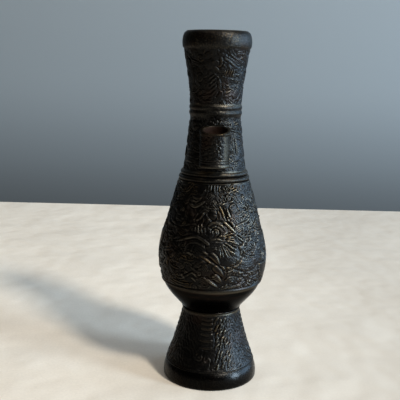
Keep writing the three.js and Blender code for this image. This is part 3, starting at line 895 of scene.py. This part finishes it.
class Finish:
    """A material under construction."""

    def __init__(self, name):
        self.material = bpy.data.materials.new(name)
        self.material.use_nodes = True
        self.tree = self.material.node_tree
        self.tree.nodes.clear()
        output = self.tree.nodes.new("ShaderNodeOutputMaterial")
        self.shader = self.tree.nodes.new("ShaderNodeBsdfPrincipled")
        self.tree.links.new(self.shader.outputs[0], output.inputs["Surface"])
        self.place = self.node("ShaderNodeTexCoord", output="Object")

    def node(self, kind, settings=None, inputs=None, output=0):
        """A node with its settings made first, then its sockets given values or links."""
        made = self.tree.nodes.new(kind)
        for key, value in (settings or {}).items():
            setattr(made, key, value)
        for key, value in (inputs or {}).items():
            self.put(made.inputs[key], value)
        return Signal(self, made.outputs[output])

    def put(self, socket, value):
        if isinstance(value, Signal):
            self.tree.links.new(value.socket, socket)
        else:
            socket.default_value = value

    def set(self, **values):
        """Values and links of the shader's own sockets, by name with _ for a space."""
        for key, value in values.items():
            self.put(self.shader.inputs[key.replace("_", " ")], value)

    def attribute(self, name):
        return self.node("ShaderNodeAttribute", {"attribute_name": name}, output="Fac")

    def along(self, axis):
        """The place on one axis, in metres."""
        return self.node("ShaderNodeSeparateXYZ", inputs={0: self.place}, output="XYZ".index(axis))

    def noise(self, size_mm, detail=4.0, rough=0.55, seed=0.0, squash=1.0):
        """Cloudy noise; squash below 1 draws it out round the vase."""
        stretch = {"Location": (seed, seed, seed), "Scale": (squash, squash, 1), "Vector": self.place}
        where = self.node("ShaderNodeMapping", inputs=stretch)
        inputs = {"Vector": where, "Scale": 1 / (size_mm * MM), "Detail": detail, "Roughness": rough}
        return self.node("ShaderNodeTexNoise", inputs=inputs)

    def cells(self, size_mm):
        """Distance from the middles of scattered cells."""
        inputs = {"Vector": self.place, "Scale": 1 / (size_mm * MM)}
        return self.node("ShaderNodeTexVoronoi", inputs=inputs, output="Distance")

    def mix(self, factor, first, second):
        """One colour to another."""
        first, second = (c if isinstance(c, Signal) else (*c, 1) for c in (first, second))
        return self.node("ShaderNodeMix", {"data_type": "RGBA"}, {0: factor, 6: first, 7: second}, 2)

    def bump(self, height, distance_mm, strength=1.0):
        inputs = {"Strength": strength, "Distance": distance_mm * MM, "Height": height}
        return self.node("ShaderNodeBump", inputs=inputs)


def scaled(colour, share):
    return tuple(share * c for c in colour)


# How much light the bronze sends back where the eye glances along it
DULL_EDGE = (0.8, 0.8, 0.8, 1)
DULLER_EDGE = (0.54, 0.54, 0.54, 1)


def relief_bronze(name="patina_over_relief", glancing=DULL_EDGE):
    """Near-black patina in hollows, bronze rubbed warm on edges and high points; painted light and
    shade.
    """
    tint = bpy.context.scene.arrow_vase_colours
    f = Finish(name)
    lift, edge, carved = f.attribute("lift"), f.attribute("edge"), f.attribute("carved")
    inside = f.attribute("inside")
    cloudy, patches, fine = f.noise(6, 5), f.noise(15, 3, seed=5.3), f.noise(0.7, 6, 0.6, 1.7)
    right = f.along("X").between(4 * MM, 15 * MM)
    # Painted highlight: rubbed bronze shows least on the left, most towards the lamps on the right
    toward_light = f.along("X").between(-3 * MM, 10 * MM) * (1 - right * 0.5)
    wear_and_lit_side = (0.45 + cloudy.between(0.3, 0.7) * 0.75) * (0.35 + toward_light * 0.65)
    stand = f.along("Z").between(6 * MM, 9 * MM)
    crest = edge.between(0.2, 1.4) * (0.35 + lift.between(0.3, 0.85) * 0.65) * (0.1 + stand * 0.9)
    hem = (f.along("Z") - BELLY_LOW.z).math("ABSOLUTE").between(1.2 * MM, 2.2 * MM)
    patchy = (1 - carved) * stand * (0.02 + fine.between(0.5, 0.75) * 0.2)
    wear_and_highlight = (crest * wear_and_lit_side * (0.35 + hem * 0.65) + (fine - 0.5) * 0.16 + patchy).clamp()
    hollow = (edge * -1).between(0.1, 1.1) * carved
    left = (f.along("X") * -1).between(-6 * MM, 10 * MM)
    # Painted sheen: the plain bronze is made lighter on the right, towards the lamps
    base = f.mix(right, tint.plain, scaled(tint.plain, 1.9))
    base = f.mix(patches.between(0.48, 0.64) * (0.3 + left * 0.2), base, tint.russet)
    # Painted shade on the left, on the foot band and most at its bottom; hollows hold real patina
    low = 1 - f.along("Z").between(2.5 * MM, 5.5 * MM)
    patina_and_shade = (hollow + 0.35 * (1 - stand) + low * 0.45 + left * 0.6).clamp()
    base = f.mix(patina_and_shade * 0.85, base, tint.patina)
    golden = f.noise(10, 3, seed=8.3).between(0.5, 0.6)
    base = f.mix(wear_and_highlight, base, f.mix(golden, tint.rubbed, tint.golden))
    base = f.mix(inside * 0.8, base, tint.russet)
    grain = f.cells(0.42).between(0.05, 0.6) * 0.55 + f.noise(0.22, 5, 0.65, 4.3) * 0.8
    pits = f.cells(1.9).between(0.0, 0.16) * 0.7
    dents = f.noise(1.8, 4, seed=7.7) * (2.5 + stand * 2) + stand * f.noise(0.7, seed=9.1)
    rough = 0.36 + (fine - 0.5) * 0.25 + hollow * 0.2 - wear_and_highlight * 0.04
    rough = rough - (1 - stand) * 0.1 + (1 - carved) * stand * 0.06
    f.set(
        Base_Color=base,
        Metallic=1.0,
        Specular_Tint=glancing,
        Roughness=(rough + inside * 0.35).clamp(0.2, 0.85),
        Normal=f.bump(grain * (0.3 + carved * 0.7) + pits + (1 - carved) * dents, 0.045),
    )
    return f.material


def tube_bronze():
    """The relief's bronze, duller where the eye glances along the round wall."""
    return relief_bronze("patina_over_tubes", DULLER_EDGE)


def plain_bronze():
    """Smooth dark bronze, softly polished, with faint clouding, marks wiped round it and painted light.
    """
    tint = bpy.context.scene.arrow_vase_colours
    f = Finish("smooth_patina")
    cloudy, fine, wiped = f.noise(9, 5), f.noise(0.5, 5, 0.6, 2.2), f.noise(1.1, 4, 0.6, 5.2, 0.12)
    hem = f.along("Z").between(BELLY_LOW.z - 7 * MM, BELLY_LOW.z - 1 * MM)
    # Painted shade and highlight: darker towards the left, edges lighter towards the lamps
    toward_light = f.along("X").between(-12 * MM, 14 * MM) * 0.9 + 0.1
    base = f.mix(toward_light * 0.35, tint.patina, tint.plain)
    base = f.mix(wiped.between(0.46, 0.66) * (0.05 + hem * 0.35), base, tint.russet)
    base = f.mix(f.attribute("edge").between(0.3, 1.5) * (0.04 + toward_light * 0.3), base, tint.rubbed)
    pits = f.cells(2.6).between(0.0, 0.14)
    rough = 0.24 + (cloudy - 0.5) * 0.2 + (fine - 0.5) * 0.1 + (wiped - 0.5) * 0.12
    f.set(
        Base_Color=base,
        Metallic=1.0,
        Specular_Tint=DULLER_EDGE,
        Roughness=rough.clamp(0.15, 0.6),
        Normal=f.bump(fine * 0.5 + pits * 0.7 + cloudy * 1.5 + wiped * 0.4, 0.02),
    )
    return f.material


def inner_bronze():
    """Dull bronze as it left the mould."""
    tint = bpy.context.scene.arrow_vase_colours
    f = Finish("dull_bronze")
    cloudy, fine = f.noise(4, 5), f.noise(0.4, 6, 0.65, 2.9)
    f.set(
        Base_Color=f.mix(cloudy.between(0.35, 0.7), tint.inside, tint.patina),
        Metallic=0.4,
        Roughness=(0.6 + (fine - 0.5) * 0.3).clamp(0.3, 0.9),
        Normal=f.bump(fine + f.cells(0.8).between(0.0, 0.4) * 0.6, 0.08),
    )
    return f.material


# Each finish's material name and maker; all but the tubes' are called what their slots are
FINISHES = {
    "relief_bronze": ("patina_over_relief", relief_bronze),
    "tube_bronze": ("patina_over_tubes", tube_bronze),
    "plain_bronze": ("smooth_patina", plain_bronze),
    "inner_bronze": ("dull_bronze", inner_bronze),
}


def finish_named(finish):
    """One of the finishes, made when it is first asked for."""
    name, maker = FINISHES[finish]
    return bpy.data.materials.get(name) or maker()


def table_cloth():
    """Pale cloth with a fine weave, and painted shade in soft clouds over its folds and towards +X."""
    tint = bpy.context.scene.arrow_vase_colours.table
    f = Finish("table_cloth")
    cloudy, weave = f.noise(70, 3), f.noise(1.2, 3, 0.6)
    # Painted shade of the folds: darker where the clouding that raises them is high, mixed with the
    # weave
    cloth = f.mix((cloudy * 0.6 + weave * 0.4).between(0.3, 0.7), tint, scaled(tint, 0.86))
    f.set(
        # Painted shade: the cloth is darker towards +X
        Base_Color=f.mix(f.along("X").between(-0.03, 0.13), cloth, scaled(tint, 0.7)),
        Roughness=0.9,
        Normal=f.bump(cloudy, 16, 0.23),
    )
    return f.material


def wall_paint():
    """Matte paint in a light that grows upwards."""
    tint = bpy.context.scene.arrow_vase_colours.wall
    f = Finish("wall_paint")
    share = f.along("Z").between(-0.2, 0.12)
    f.set(Base_Color=f.mix(share, scaled(tint, 0.35), tint), Roughness=0.9)
    return f.material


class ARROWVASE_OT_foot(bpy.types.Operator):
    """Carve the splayed foot with its plain band"""

    bl_idname = "arrow_vase.foot"
    bl_label = "Foot"

    def execute(self, context):
        s = sizes_in_mm()
        base, band, waist = s.foot_radius, s.foot_band, FOOT_HIGH.z / MM
        flare = sweep((s.foot_flare, band + 0.6), (s.waist, waist), (0.17, 0.12), (0.15, 0.32))
        stand = sweep((base, 1.2), (base - 1.3, band - 0.5), (0, 0.45), (0.75, 0.25), 16)
        fillet = bead(base - 1.4, base - 1.0, band - 0.35, 0.85, 7)
        inner = even(inside_of(flare, FOOT_WALL), 2.2)
        seat, ledge = PLATE_SEAT, PLATE_LEDGE
        rows = [
            [(base - 0.8, 0), (base - 0.3, 0.15), (base - 0.06, 0.55)],
            even(stand, 0.5),
            fillet,
            even(flare, 0.27),
            [(seat, waist), (seat, waist - 2), (ledge, waist - 2), (ledge, waist - 3.2)],
            inner[inner[:, 1] < waist - 3.6][::-1],
            [(base - FOOT_RING, 0)],
        ]
        bm = turned(rows, STEPS["foot"])
        piece = mesh_piece("carved_foot", bm, "relief_bronze", "foot")
        carve(piece, flare, band + 0.8, waist - 0.5, draw_foot, SEEDS["foot"], boldness=0.55)
        keep_wear_and_sheen(piece.data)
        return {"FINISHED"}


class ARROWVASE_OT_bowl(bpy.types.Operator):
    """Turn the smooth bowl between the foot and the belly"""

    bl_idname = "arrow_vase.bowl"
    bl_label = "Bowl"

    def execute(self, context):
        s = sizes_in_mm()
        waist, hem, top = BOWL_LOW.z / MM, BELLY_LOW.z / MM, BOWL_HIGH.z / MM
        outline = sweep((s.waist, waist), (s.bowl_radius, hem), (0, 0.2), (0.2, 0.45))
        outer = outline[outline[:, 1] > waist + 1.2]
        spigot = s.belly_hem - BELLY_WALL * 1.1 - SEAT_GAP
        wall = even(inside_of(outline, BOWL_WALL), 1.2)
        rows = [
            bead(s.waist - 0.15, s.waist + 0.28, waist, 1.1, 7),
            even(outer, 0.45),
            [(spigot, hem), (spigot, top), (spigot - SPIGOT_WALL, top)],
            wall[(wall[:, 1] > waist + 2.2) & (wall[:, 0] < spigot - SPIGOT_WALL)][::-1],
            [(PLATE_LEDGE, waist + 1), (PLATE_SEAT, waist + 1), (PLATE_SEAT, waist)],
        ]
        bm = turned(rows, STEPS["bowl"])
        piece = mesh_piece("smooth_bowl", bm, "plain_bronze", "bowl")
        keep_wear_and_sheen(piece.data)
        return {"FINISHED"}


class ARROWVASE_OT_belly(bpy.types.Operator):
    """Carve the belly with its dragons, clouds and waves"""

    bl_idname = "arrow_vase.belly"
    bl_label = "Belly"

    def execute(self, context):
        s = sizes_in_mm()
        hem, neck, moulding = BELLY_LOW.z / MM, BELLY_HIGH.z / MM, s.shoulder_bead
        shoulder = neck - 2 * moulding
        widest = (s.belly_radius, hem + 11)
        lower = sweep((s.belly_hem, hem), widest, (0.46, 0.32), (0, 0.36))
        upper = sweep(widest, (s.shoulder, shoulder), (0, 0.27), (0.1, 0.15), 120)
        outline = np.vstack([lower, upper[1:]])
        crest = s.shoulder - 0.05
        inner = even(inside_of(outline, BELLY_WALL), 3.6)
        rows = [
            even(outline, 0.275),
            bead(crest - 0.6, crest, shoulder, moulding, 10),
            bead(crest - 1.35, crest - 0.75, shoulder + moulding, moulding, 10),
            [(BELLY_BORE, neck), (BELLY_BORE, neck - 5.2)],
            inner[inner[:, 1] < neck - 5.4][::-1],
        ]
        bm = turned(rows, STEPS["belly"])
        piece = mesh_piece("carved_belly", bm, "relief_bronze", "belly_shell")
        carve(piece, outline, hem, shoulder, draw_belly, SEEDS["belly"])
        keep_wear_and_sheen(piece.data)
        return {"FINISHED"}


class ARROWVASE_OT_neck(bpy.types.Operator):
    """Carve the neck section, with the band and double bead above it"""

    bl_idname = "arrow_vase.neck"
    bl_label = "Neck"

    def execute(self, context):
        s = sizes_in_mm()
        foot, top = BELLY_HIGH.z / MM, NECK_HIGH.z / MM
        crest = s.neck_bead
        beads = top - 4.5
        spigot, socket = foot - SPIGOT_LENGTH, top - SOCKET_DEPTH
        taper = sweep((s.neck_foot, foot), (s.neck_top, beads - 2.7), (0.42, 0.3), (0.1, 0.3))
        under_beads = ((0.62, 1.9), (0.55, 1), (0.42, 0.2))
        groove = [(crest - depth, beads - below) for depth, below in under_beads]
        outline = np.vstack([taper, groove])
        rows = [
            [(NECK_SPIGOT, spigot), (NECK_SPIGOT, foot)],
            even(outline, 0.25),
            bead(crest - 0.35, crest, beads, 2.25, 10),
            bead(crest - 0.35, crest, beads + 2.25, 2.25, 10)[1:],
            [(NECK_SOCKET, top), (NECK_SOCKET, socket)],
            np.linspace((MOUTH_BORE, socket), (NECK_BORE, spigot), 8),
        ]
        bm = turned(rows, STEPS["neck"])
        piece = mesh_piece("carved_neck", bm, "relief_bronze", "lug_neck")
        carve(piece, outline, foot + 0.2, beads - 0.3, draw_neck, SEEDS["neck"], boldness=0.5)
        keep_wear_and_sheen(piece.data)
        return {"FINISHED"}


class ARROWVASE_OT_mouth(bpy.types.Operator):
    """Carve the trumpet mouth under its plain rounded rim band"""

    bl_idname = "arrow_vase.mouth"
    bl_label = "Mouth"

    def execute(self, context):
        s = sizes_in_mm()
        foot, top = NECK_HIGH.z / MM, MOUTH_HIGH.z / MM
        rim, lip = top - s.rim_band, s.rim_top
        outline = sweep((MOUTH_FOOT, foot), (s.trumpet_top, rim), (-0.04, 0.13), (0.71, 0.46))
        band = sweep((s.rim_foot, rim + 0.5), (lip, top - 0.35), (-0.57, 0.37), (0.98, 0.015))
        end = foot - SPIGOT_LENGTH
        rows = [
            [(MOUTH_BORE, end), (MOUTH_SPIGOT, end), (MOUTH_SPIGOT, foot)],
            even(outline, 0.25),
            even(band, 0.35),
            [(lip - 0.25, top - 0.05), (lip - 0.6, top - 0.1), (lip - 0.85, top - 0.75)],
            even(inside_of(outline, MOUTH_WALL), 0.8)[::-1],
        ]
        bm = turned(rows, STEPS["mouth"])
        piece = mesh_piece("carved_mouth", bm, "relief_bronze", "mouth_trumpet")
        carve(piece, outline, foot + 0.1, rim - 0.1, draw_trumpet, SEEDS["mouth"], boldness=0.5)
        keep_wear_and_sheen(piece.data)
        return {"FINISHED"}


class ARROWVASE_OT_tubes(bpy.types.Operator):
    """Make the two arrow tubes with slanting mouths, plain end bands and a grained wall"""

    bl_idname = "arrow_vase.tubes"
    bl_label = "Arrow tubes"

    def execute(self, context):
        for name, turn in (("front", 0), ("back", math.pi)):
            self.tube(name, turn)
        return {"FINISHED"}

    def tube(self, name, turn):
        """One tube, made upright at the origin and then moved to its side of the neck."""
        s = sizes_in_mm()
        radius, bore, slant = s.tube_radius, s.tube_bore, s.tube_slant
        centre, foot, top = -TUBE_LOW.y / MM - radius, TUBE_LOW.z / MM, TUBE_HIGH.z / MM
        mean_top = foot + s.tube_length
        body, wide = radius - 0.22, bore + MOUTH_WIDENING
        low, high, cap = foot + 1.4, mean_top - 2.0, top + 1.5
        grained = np.array([(body, low), (body, high)])
        rows = [
            [(radius - 0.35, foot), (radius - 0.08, foot + 0.12), (radius, foot + 0.35)],
            [(radius, foot + 0.8), (radius - 0.1, foot + 1.2)],
            even(grained, 0.22),
            [(radius - 0.1, mean_top - 1.85), (radius, mean_top - 1.7)],
            even([(radius, mean_top - 1.55), (radius, cap)], 0.3),
            even([(wide, cap), (wide, mean_top - 2.2), (bore, mean_top - 4)], 0.5),
            even([(bore, mean_top - 4.5), (bore, foot)], 1.0),
        ]
        bm = turned(rows, STEPS["tube"])
        whole = bm.verts[:] + bm.edges[:] + bm.faces[:]
        plane = {
            "plane_co": (0, 0, mean_top * MM),
            "plane_no": (0, -math.sin(slant), math.cos(slant)),
        }
        cut = bmesh.ops.bisect_plane(bm, geom=whole, dist=1e-7, clear_outer=True, **plane)
        rims = [e for e in cut["geom_cut"] if isinstance(e, bmesh.types.BMEdge)]
        bmesh.ops.bridge_loops(bm, edges=rims)
        rims = [e for e in rims if e.is_valid]
        bmesh.ops.bevel(
            bm, geom=rims, offset=0.4 * MM, affect="EDGES", segments=3, profile=0.5, material=-1
        )
        bmesh.ops.recalc_face_normals(bm, faces=bm.faces)
        node = f"arrow_tube_{name}"
        piece = mesh_piece(f"{node}_cast", bm, "relief_bronze", node, finish="tube_bronze")
        carve(piece, grained, low, high, draw_tube, SEEDS[name], boldness=0.4, fade=0.3)
        # Painted highlight on the tube walls that face right, towards the lamps, and on the mouth
        keep_wear_and_sheen(piece.data, LIT_SIDE)
        x, y, _ = vectors(piece.data.vertices, "co").T
        keep_value(piece.data, "inside", np.hypot(x, y) < (wide + 0.05) * MM)
        bm = bmesh.new()
        bm.from_mesh(piece.data)
        self.pad(bm, wide + 0.15, centre - PAD_BACK, foot + 0.2, mean_top - 0.1, math.tan(slant))
        bmesh.ops.translate(bm, vec=(0, -centre * MM, 0), verts=bm.verts)
        bmesh.ops.rotate(bm, cent=(0, 0, 0), matrix=Matrix.Rotation(turn, 3, "Z"), verts=bm.verts)
        bm.to_mesh(piece.data)
        bm.free()

    def pad(self, bm, near, far, foot, top, slope):
        """The block that fills the wedge between the tube and the tapering neck."""
        made = bmesh.ops.create_cube(bm, size=1)["verts"]
        bmesh.ops.scale(bm, vec=(PAD_WIDTH * MM, (far - near) * MM, (top - foot) * MM), verts=made)
        bmesh.ops.translate(bm, vec=(0, (near + far) / 2 * MM, (foot + top) / 2 * MM), verts=made)
        for corner in made:
            if corner.co.z > (foot + top) / 2 * MM:
                corner.co.z += corner.co.y * slope


class ARROWVASE_OT_castings(bpy.types.Operator):
    """Give the floor plate and the tube pins their dull as-cast bronze"""

    bl_idname = "arrow_vase.castings"
    bl_label = "Floor plate and pins"

    def execute(self, context):
        for name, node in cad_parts.items():
            if name == "floor_plate" or name.startswith("tube_pin"):
                for slot in node.material_slots:
                    slot.material = finish_named("inner_bronze")
        return {"FINISHED"}


def stage_plane(name, corner, across, up, finish):
    """A flat rectangle of the surroundings."""
    bm = bmesh.new()
    made = bmesh.ops.create_grid(bm, x_segments=1, y_segments=1, size=0.5)["verts"]
    across, up, corner = Vector(across), Vector(up), Vector(corner)
    turn = Matrix((across, up, across.cross(up))).transposed().to_4x4()
    turn.translation = corner + across / 2 + up / 2
    bmesh.ops.transform(bm, matrix=turn, verts=made)
    mesh = bpy.data.meshes.new(name)
    bm.to_mesh(mesh)
    bm.free()
    mesh.materials.append(finish)
    plane = bpy.data.objects.new(name, mesh)
    bpy.context.scene.collection.objects.link(plane)


def soft_light(name, turn, rise, distance, wide, high, power, tint):
    """A rectangular lamp that faces the vase; turn and rise are in degrees, power in watts.

    The turn is counted from the vase's front towards +X.
    """
    lamp = bpy.data.lights.new(name, "AREA")
    lamp.shape = "RECTANGLE"
    lamp.size, lamp.size_y = wide, high
    lamp.energy = power
    lamp.color = tint
    turn, rise = math.radians(turn), math.radians(rise)
    level = math.cos(rise)
    ray = Vector((math.sin(turn) * level, -math.cos(turn) * level, math.sin(rise)))
    holder = bpy.data.objects.new(name, lamp)
    holder.location = ray * distance + Vector((0, 0, BELLY_HIGH.z - BELLY_HIGH.x))
    holder.rotation_euler = ray.to_track_quat("Z", "Y").to_euler()
    bpy.context.scene.collection.objects.link(holder)


class ARROWVASE_OT_stage(bpy.types.Operator):
    """Set the table, the wall, the soft light and the camera"""

    bl_idname = "arrow_vase.stage"
    bl_label = "Stage"

    def execute(self, context):
        tint = context.scene.arrow_vase_colours
        stage_plane("table", (-3, -3, -0.0001), (6, 0, 0), (0, 3.38, 0), table_cloth())
        stage_plane("wall", (-3, 1.1, -1.5), (6, 0, 0), (0, 0, 4), wall_paint())
        soft_light("near_window", 43, 40, 2, 0.24, 0.3, 36, tint.daylight)
        soft_light("far_window", 66, 12, 2, 0.42, 0.8, 50, tint.sidelight)
        soft_light("open_sky", 102, 11, 2, 1.3, 0.8, 26, tint.skylight)
        soft_light("ceiling", 20, 78, 1.5, 2, 2, 9.7, (1, 1, 1))
        world = bpy.data.worlds.new("room")
        world.use_nodes = True
        room = world.node_tree.nodes["Background"].inputs
        room["Color"].default_value = ROOM_COLOUR
        room["Strength"].default_value = ROOM_STRENGTH
        context.scene.world = world
        context.scene.view_settings.view_transform = "Standard"
        self.camera(context)
        return {"FINISHED"}

    def camera(self, context):
        """The photograph's eye: about a hand and a half in front, a little above, looking down."""
        turn, down, roll = EYE_TURN, math.radians(EYE_DOWN), math.radians(EYE_ROLL)
        level = math.cos(down)
        ahead = Vector((math.sin(turn) * level, math.cos(turn) * level, -math.sin(down)))
        right = Vector((math.cos(turn), -math.sin(turn), 0))
        below = ahead.cross(right)
        image_right = math.cos(roll) * right - math.sin(roll) * below
        image_up = -(math.sin(roll) * right + math.cos(roll) * below)
        eye = bpy.data.cameras.new("eye")
        eye.sensor_width = EYE_FILM
        eye.lens = EYE_LENS
        eye.clip_start = 0.01
        holder = bpy.data.objects.new("eye", eye)
        place = Matrix((image_right, image_up, -ahead)).transposed().to_4x4()
        place.translation = Vector(EYE_PLACE)
        holder.matrix_world = place
        context.scene.collection.objects.link(holder)
        context.scene.camera = holder


PIECES = (
    ARROWVASE_OT_foot,
    ARROWVASE_OT_bowl,
    ARROWVASE_OT_belly,
    ARROWVASE_OT_neck,
    ARROWVASE_OT_mouth,
    ARROWVASE_OT_tubes,
    ARROWVASE_OT_castings,
    ARROWVASE_OT_stage,
)


class ARROWVASE_PT_panel(bpy.types.Panel):
    """The vase's operators, sizes and colours"""

    bl_label = "Arrow vase"
    bl_idname = "ARROWVASE_PT_panel"
    bl_space_type = "VIEW_3D"
    bl_region_type = "UI"
    bl_category = "Arrow vase"

    def draw(self, context):
        for made in PIECES:
            self.layout.operator(made.bl_idname)
        for group in (context.scene.arrow_vase_sizes, context.scene.arrow_vase_colours):
            box = self.layout.box()
            for name in group.__annotations__:
                box.prop(group, name)


CLASSES = (ArrowVaseSizes, ArrowVaseColours, *PIECES, ARROWVASE_PT_panel)


def register():
    for made in CLASSES:
        bpy.utils.register_class(made)
    bpy.types.Scene.arrow_vase_sizes = PointerProperty(type=ArrowVaseSizes)
    bpy.types.Scene.arrow_vase_colours = PointerProperty(type=ArrowVaseColours)


def unregister():
    del bpy.types.Scene.arrow_vase_colours
    del bpy.types.Scene.arrow_vase_sizes
    for made in reversed(CLASSES):
        bpy.utils.unregister_class(made)


def main():
    """Builds the whole vase and its stage."""
    register()
    for made in PIECES:
        area, name = made.bl_idname.split(".")
        getattr(getattr(bpy.ops, area), name)()


if __name__ == "__main__":
    main()
